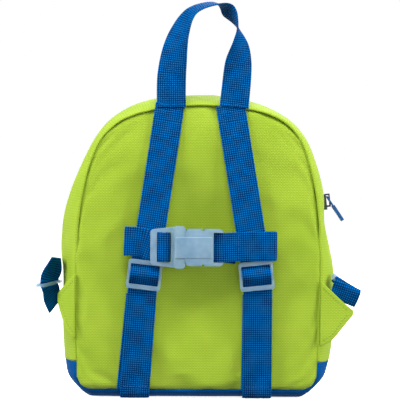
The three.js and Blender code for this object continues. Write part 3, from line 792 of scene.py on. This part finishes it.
for node in ("strap_slider_left", "strap_slider_right"):
    fitting(node, ROUND["slider"], thin_plastic, "frosted_plastic", fuller=SLIDER_FULLER)
fitting("buckle_male", ROUND["buckle"], clear_plastic, "frosted_plastic", shape=plug_shape)
fitting("buckle_female", ROUND["buckle"], clear_plastic, "frosted_plastic", shape=socket_shape)
for node in ("side_ring_left", "side_ring_right"):
    fitting(node, ROUND["ring"], thin_plastic, "frosted_plastic")
fitting("zip_slider", ROUND["zip"], dark_metal, "dark_zip")
fitting("zip_pull", ROUND["pull"], blue_plastic, "blue_webbing", "pull")


# Cloth tabs at the sides


def tab(node):
    """A doubled cloth tab with soft edges, from the CAD solid."""
    bm = quads(cad_copy(node))
    uv = bm.loops.layers.uv.new("cloth")
    crease = bm.edges.layers.float.new("crease_edge")
    for edge in bm.edges:
        edge[crease] = TAB_CREASE["sharp"] if edge.calc_face_angle(0) > TAB_CREASE["angle"] else 0.0
    for face in bm.faces:
        for loop in face.loops:
            loop[uv].uv = (loop.vert.co.x - loop.vert.co.y, loop.vert.co.z)
    obj = piece(bm, node + "_cloth", green_cloth, "green_cloth", [node])
    subdivide(obj, 3)
    return obj


tabs = {node: tab(node) for node in ("side_tab_left", "side_tab_right")}


# The raised face of the socket, whose lip reaches over the collar of the plug

face_size = [(FACE[axis][1] - FACE[axis][0]) * MM for axis in "xyz"]
face_at = [sum(FACE[axis]) / 2 * MM for axis in "xyz"]
face_bm = bmesh.new()
face_highlight = face_bm.faces.layers.float.new("edge")
face_place = Matrix.Translation(face_at) @ Matrix.Diagonal((*face_size, 1))
bmesh.ops.create_cube(face_bm, size=1, matrix=face_place)
# its rounded edges carry a weaker painted highlight than the other fittings' edges
round_edges(face_bm, face_bm.edges, FACE_ROUND, face_highlight, FACE_EDGE_HIGHLIGHT)
piece(face_bm, "buckle_face", clear_plastic, "frosted_plastic")


# Stitches: short raised lengths of thread laid on a piece along a line seen from the wearer's side


def stitches(name, on, lines, thread, slot):
    """Rows of stitches on a piece along lines of x and z in millimetres."""
    surface = BVHTree.FromObject(on, bpy.context.evaluated_depsgraph_get())
    size = Matrix.Diagonal((STITCH_LENGTH / 2, STITCH_THICK, STITCH_THICK, 1))
    bm = bmesh.new()
    for line in lines:
        points = [Vector((x, STITCH_FROM_Y, z)) * MM for x, z in line]
        for start, end in zip(points, points[1:]):
            count = max(round((end - start).length / STITCH_PITCH), 1)
            for k in range(count):
                at, face, _, _ = surface.ray_cast(start.lerp(end, (k + 0.5) / count), Vector((0, 1, 0)))
                if at is None:
                    continue
                along = (end - start).normalized()
                along = (along - face * along.dot(face)).normalized()
                turned = Matrix((along, face, along.cross(face))).transposed().to_4x4()
                place = Matrix.Translation(at) @ turned @ size
                bmesh.ops.create_icosphere(bm, subdivisions=1, radius=1, matrix=place)
    piece(bm, name, thread, slot)


STITCH_LINES = [
    {"on": tabs["side_tab_right"], "lines": [[(107.5, 96.8), (115.8, 89), (129.6, 77.4)]]},
    {"on": tabs["side_tab_right"], "lines": [[(129.6, 74), (116, 55.6), (107.5, 51)]]},
    {"on": tabs["side_tab_left"], "lines": [[(-107, 101.4), (-112, 96), (-118.4, 87.6)]]},
    {"on": tabs["side_tab_left"], "lines": [[(-117.6, 82), (-112, 64), (-107, 57)]]},
    {"on": straps["chest_strap_right"], "lines": [[(33.6, 121), (33.6, 143)]]},
    {"on": straps["shoulder_strap_left"], "lines": [[(-36.5, 246.5), (-15.5, 248)], [(-64, 11), (-43, 11)]]},
    {"on": straps["shoulder_strap_right"], "lines": [[(16, 248), (37, 246.5)], [(41, 11), (62, 11)]]},
]
for number, row in enumerate(STITCH_LINES, 1):
    on_cloth = row["on"] in tabs.values()
    thread, slot = (green_thread, "green_cloth") if on_cloth else (blue_thread, "blue_webbing")
    stitches(f"stitches_{number}", row["on"], row["lines"], thread, slot)


# Zip: the tape between the gussets, and its closed coil


def zip_place(a, b):
    """A point of the zip tape, sunk a little under the skin."""
    share = zip_ends[0] + (zip_ends[1] - zip_ends[0]) * b
    deep = 0.5 + (2 * a - 1) * zip_half(share)
    return skin(share, deep, -ZIP_RECESS), (deep * MEAN_DEPTH, share * SEAM_LENGTH)


tape = piece(mapped_grid(*ZIP_GRID, zip_place), "zip_tape_cloth", blue_cloth, "blue_cloth", ["zip_tape"])
wall(tape, TAPE)

coil = bmesh.new()
tooth_size = Matrix.Diagonal((TOOTH["high"], TOOTH["wide"], TOOTH["long"], 1))
zip_run = (zip_ends[1] - zip_ends[0]) * SEAM_LENGTH
for k in range(int(zip_run / TOOTH_PITCH)):
    share = zip_ends[0] + (k + 0.5) * TOOTH_PITCH / SEAM_LENGTH
    if zip_half(share) < ZIP_HALF:
        continue
    at = skin(share, 0.5, -ZIP_RECESS + TOOTH["rise"])
    out = seam_at(share)[1]
    facing = Vector((out.x, 0, out.y))
    turned = Matrix((facing, (0, 1, 0), facing.cross((0, 1, 0)))).transposed().to_4x4()
    tooth_place = Matrix.Translation(at) @ turned @ tooth_size
    bmesh.ops.create_icosphere(coil, subdivisions=1, radius=1, matrix=tooth_place)
piece(coil, "zip_coil", blue_coil, "blue_cloth")


# Camera, light and floor

camera = bpy.data.cameras.new("photo_camera")
camera.sensor_width = SENSOR
camera.lens = SENSOR * CAMERA_DISTANCE / PHOTO_WIDTH
camera_object = bpy.data.objects.new("photo_camera", camera)
bpy.context.scene.collection.objects.link(camera_object)
azimuth, elevation = math.radians(CAMERA_AZIMUTH), math.radians(CAMERA_ELEVATION)
back = Vector((
    math.sin(azimuth) * math.cos(elevation), -math.cos(azimuth) * math.cos(elevation), math.sin(elevation),
))
camera_object.location = TARGET + back * CAMERA_DISTANCE
camera_object.rotation_mode = "QUATERNION"
roll = Quaternion((0, 0, 1), math.radians(CAMERA_ROLL))
camera_object.rotation_quaternion = (-back).to_track_quat("-Z", "Y") @ roll
bpy.context.scene.camera = camera_object

for row in LIGHTS:
    lamp = bpy.data.lights.new(row["name"], "AREA")
    lamp.energy = row["power"]
    lamp.size = row["size"]
    lamp_object = bpy.data.objects.new(row["name"], lamp)
    lamp_object.location = row["at"]
    lamp_object.rotation_mode = "QUATERNION"
    lamp_object.rotation_quaternion = (LIGHT_AIM - Vector(row["at"])).to_track_quat("-Z", "Y")
    bpy.context.scene.collection.objects.link(lamp_object)

world = bpy.data.worlds.new("studio")
world.use_nodes = True
room = world.node_tree
room.nodes.clear()
seen = shade(room, "LightPath").outputs["Is Camera Ray"]
strength = shade(room, "Math", {0: seen, 1: 1 - AMBIENT, 2: AMBIENT}, operation="MULTIPLY_ADD").outputs[0]
white = shade(room, "Background", {"Color": (1, 1, 1, 1), "Strength": strength}).outputs[0]
shade(room, "OutputWorld", {"Surface": white})
bpy.context.scene.world = world
bpy.context.scene.view_settings.view_transform = "Standard"

floor_bm = bmesh.new()
bmesh.ops.create_grid(floor_bm, x_segments=1, y_segments=1, size=FLOOR_SIZE)
floor_mesh = bpy.data.meshes.new("floor")
floor_bm.to_mesh(floor_mesh)
floor_bm.free()
floor = bpy.data.objects.new("floor", floor_mesh)
floor_material = plain_finish("pale_studio_floor", "#ffffff", "#fcfcfc", roughness=0.9)
glow = floor_material.node_tree.nodes["Principled BSDF"].inputs
glow["Emission Color"].default_value = (1, 1, 1, 1)
glow["Emission Strength"].default_value = FLOOR_GLOW
floor_mesh.materials.append(floor_material)
bpy.context.scene.collection.objects.link(floor)
floor.visible_diffuse = False  # the floor throws no light back up at the bag
